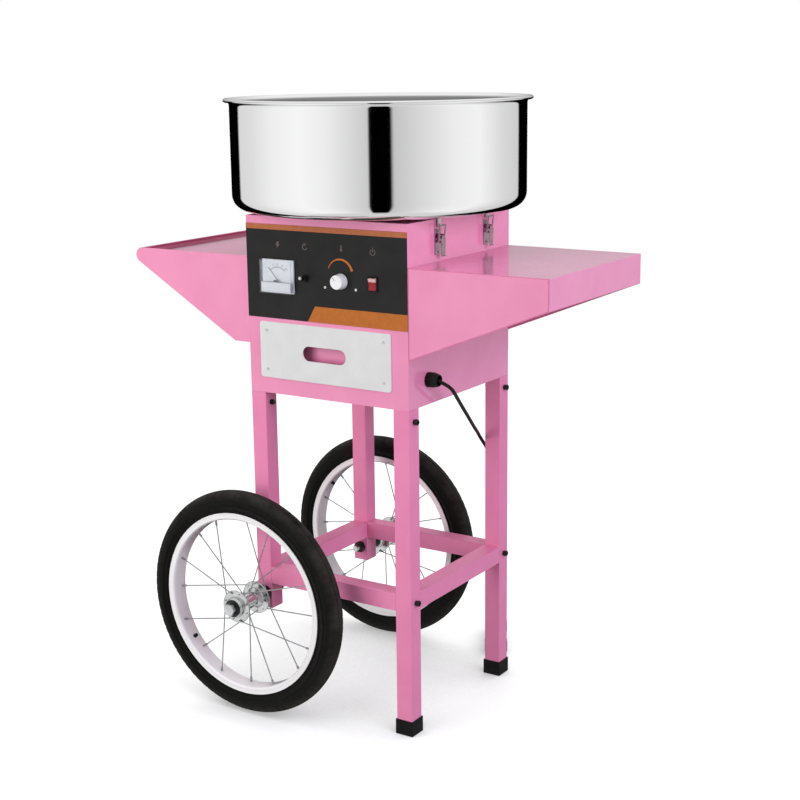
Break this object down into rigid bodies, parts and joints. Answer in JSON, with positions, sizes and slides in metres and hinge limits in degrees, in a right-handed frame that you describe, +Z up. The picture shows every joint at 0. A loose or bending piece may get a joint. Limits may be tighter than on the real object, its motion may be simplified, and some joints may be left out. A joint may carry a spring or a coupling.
{
  "type": "cotton candy cart",
  "caption": "Pink sheet-steel cotton candy cart: a box with controls and a drawer under a spinning head in a polished pan, with side trays, on a tube frame with spoked wheels",
  "frame": {"origin": "on the floor under the middle of the machine box, which is the middle of the cart's own box without the mains lead", "axes": "+Z up, -Y the front with the controls and the drawer, +X to the right as seen from the front"},
  "size_m": [0.82, 0.734, 1.056],
  "materials": {
    "pink_paint": "glossy baked pink paint on steel sheet and tube",
    "panel_black": "satin black printed overlay",
    "plate_white": "satin off-white plate",
    "zinc_steel": "plain bright steel",
    "bright_chrome": "bright plated",
    "pan_steel": "mirror-polished stainless sheet",
    "heater_band": "heat-darkened ribbon heater",
    "meter_white": "moulded white",
    "meter_clear": "clear moulded cover",
    "black_plastic": "moulded black",
    "knob_white": "moulded off-white",
    "rocker_red": "moulded red",
    "motor_iron": "dark motor case",
    "copper": "bare copper rings",
    "board_green": "green board with parts",
    "black_rubber": "black rubber",
    "black_steel": "blackened steel",
    "tyre_black": "black tread rubber",
    "rim_white": "white painted steel rim"
  },
  "bodies": {
    "frame": {"casing": "pink_paint", "base_plate": "pink_paint", "rear_cover": "pink_paint", "rear_screws": "zinc_steel", "control_fascia": "panel_black", "meter_case": "meter_white", "meter_cover": "meter_clear", "toggle_body": "black_plastic", "pot_body": "zinc_steel", "rocker_housing": "black_plastic", "drawer_runners": "zinc_steel", "motor": "motor_iron", "motor_mounts": "black_rubber", "brush_block": "black_plastic", "control_board": "board_green", "pan_seat": "black_rubber", "latch_bases": "zinc_steel", "short_legs": "pink_paint", "long_legs": "pink_paint", "stretchers": "pink_paint", "frame_bolts": "black_steel", "rubber_feet": "black_rubber", "left_tray": "pink_paint", "right_tray": "pink_paint", "axle_bolts": "zinc_steel", "axle_fittings": "black_steel", "cable_gland": "black_plastic", "power_cord": "black_rubber", "cord_hank": "black_rubber", "plug": "black_rubber"},
    "front_wheel": {"front_tyre": "tyre_black", "front_rim": "rim_white", "front_spokes": "bright_chrome", "front_hub": "bright_chrome"},
    "rear_wheel": {"rear_tyre": "tyre_black", "rear_rim": "rim_white", "rear_spokes": "bright_chrome", "rear_hub": "bright_chrome"},
    "spinner": {"motor_shaft": "zinc_steel", "slip_rings": "copper", "spinner_base": "zinc_steel", "heater_ring": "heater_band", "spinner_cap": "zinc_steel"},
    "knob": {"control_knob": "knob_white"},
    "toggle": {"toggle_lever": "bright_chrome"},
    "rocker": {"rocker_button": "rocker_red"},
    "needle": {"meter_needle": "black_plastic"},
    "drawer": {"drawer_box": "pink_paint", "drawer_front": "plate_white", "drawer_screws": "zinc_steel"},
    "pan_unit": {"pan": "pan_steel", "pan_catches": "zinc_steel"},
    "lever_fr": {"latch_lever_fr": "zinc_steel"},
    "bail_fr": {"latch_bail_fr": "zinc_steel"},
    "lever_rr": {"latch_lever_rr": "zinc_steel"},
    "bail_rr": {"latch_bail_rr": "zinc_steel"},
    "lever_fl": {"latch_lever_fl": "zinc_steel"},
    "bail_fl": {"latch_bail_fl": "zinc_steel"},
    "lever_rl": {"latch_lever_rl": "zinc_steel"},
    "bail_rl": {"latch_bail_rl": "zinc_steel"}
  },
  "joints": [
    {"name": "front_wheel_spin", "type": "hinge", "parent": "frame", "child": "front_wheel", "pos_m": [-0.145, -0.218, 0.2], "axis": [0, 1, 0], "continuous": true},
    {"name": "rear_wheel_spin", "type": "hinge", "parent": "frame", "child": "rear_wheel", "pos_m": [-0.145, 0.218, 0.2], "axis": [0, 1, 0], "continuous": true},
    {"name": "spinner_spin", "type": "hinge", "parent": "frame", "child": "spinner", "pos_m": [0, 0, 0.9], "axis": [0, 0, 1], "continuous": true},
    {"name": "knob_turn", "type": "hinge", "parent": "frame", "child": "knob", "pos_m": [0.033, -0.1658, 0.767], "axis": [0, 1, 0], "range_deg": [0, 270]},
    {"name": "toggle_flip", "type": "hinge", "parent": "frame", "child": "toggle", "pos_m": [-0.039, -0.17, 0.767], "axis": [1, 0, 0], "range_deg": [0, 22]},
    {"name": "rocker_press", "type": "hinge", "parent": "frame", "child": "rocker", "pos_m": [0.095, -0.1648, 0.767], "axis": [1, 0, 0], "range_deg": [-14, 0]},
    {"name": "needle_swing", "type": "hinge", "parent": "frame", "child": "needle", "pos_m": [-0.093, -0.171, 0.761], "axis": [0, 1, 0], "range_deg": [0, 80], "stiffness_Nm_per_rad": 0.0002},
    {"name": "drawer_slide", "type": "slide", "parent": "frame", "child": "drawer", "axis": [0, -1, 0], "range_m": [0, 0.2]},
    {"name": "pan_lift", "type": "slide", "parent": "frame", "child": "pan_unit", "axis": [0, 0, 1], "range_m": [0, 0.25]},
    {"name": "latch_open_fr", "type": "hinge", "parent": "frame", "child": "lever_fr", "pos_m": [0.1665, -0.074, 0.838], "axis": [0, -1, 0], "range_deg": [0, 110]},
    {"name": "bail_swing_fr", "type": "hinge", "parent": "lever_fr", "child": "bail_fr", "pos_m": [0.1675, -0.074, 0.829], "axis": [0, -1, 0], "range_deg": [-132, 0]},
    {"name": "latch_open_rr", "type": "hinge", "parent": "frame", "child": "lever_rr", "pos_m": [0.1665, 0.083, 0.838], "axis": [0, -1, 0], "range_deg": [0, 110]},
    {"name": "bail_swing_rr", "type": "hinge", "parent": "lever_rr", "child": "bail_rr", "pos_m": [0.1675, 0.083, 0.829], "axis": [0, -1, 0], "range_deg": [-132, 0]},
    {"name": "latch_open_fl", "type": "hinge", "parent": "frame", "child": "lever_fl", "pos_m": [-0.1665, -0.074, 0.838], "axis": [0, 1, 0], "range_deg": [0, 110]},
    {"name": "bail_swing_fl", "type": "hinge", "parent": "lever_fl", "child": "bail_fl", "pos_m": [-0.1675, -0.074, 0.829], "axis": [0, 1, 0], "range_deg": [-132, 0]},
    {"name": "latch_open_rl", "type": "hinge", "parent": "frame", "child": "lever_rl", "pos_m": [-0.1665, 0.083, 0.838], "axis": [0, 1, 0], "range_deg": [0, 110]},
    {"name": "bail_swing_rl", "type": "hinge", "parent": "lever_rl", "child": "bail_rl", "pos_m": [-0.1675, 0.083, 0.829], "axis": [0, 1, 0], "range_deg": [-132, 0]}
  ],
  "couplings": [
    {"joint": "bail_swing_fr", "follows": "latch_open_fr", "ratio": -1.2},
    {"joint": "bail_swing_rr", "follows": "latch_open_rr", "ratio": -1.2},
    {"joint": "bail_swing_fl", "follows": "latch_open_fl", "ratio": -1.2},
    {"joint": "bail_swing_rl", "follows": "latch_open_rl", "ratio": -1.2}
  ]
}
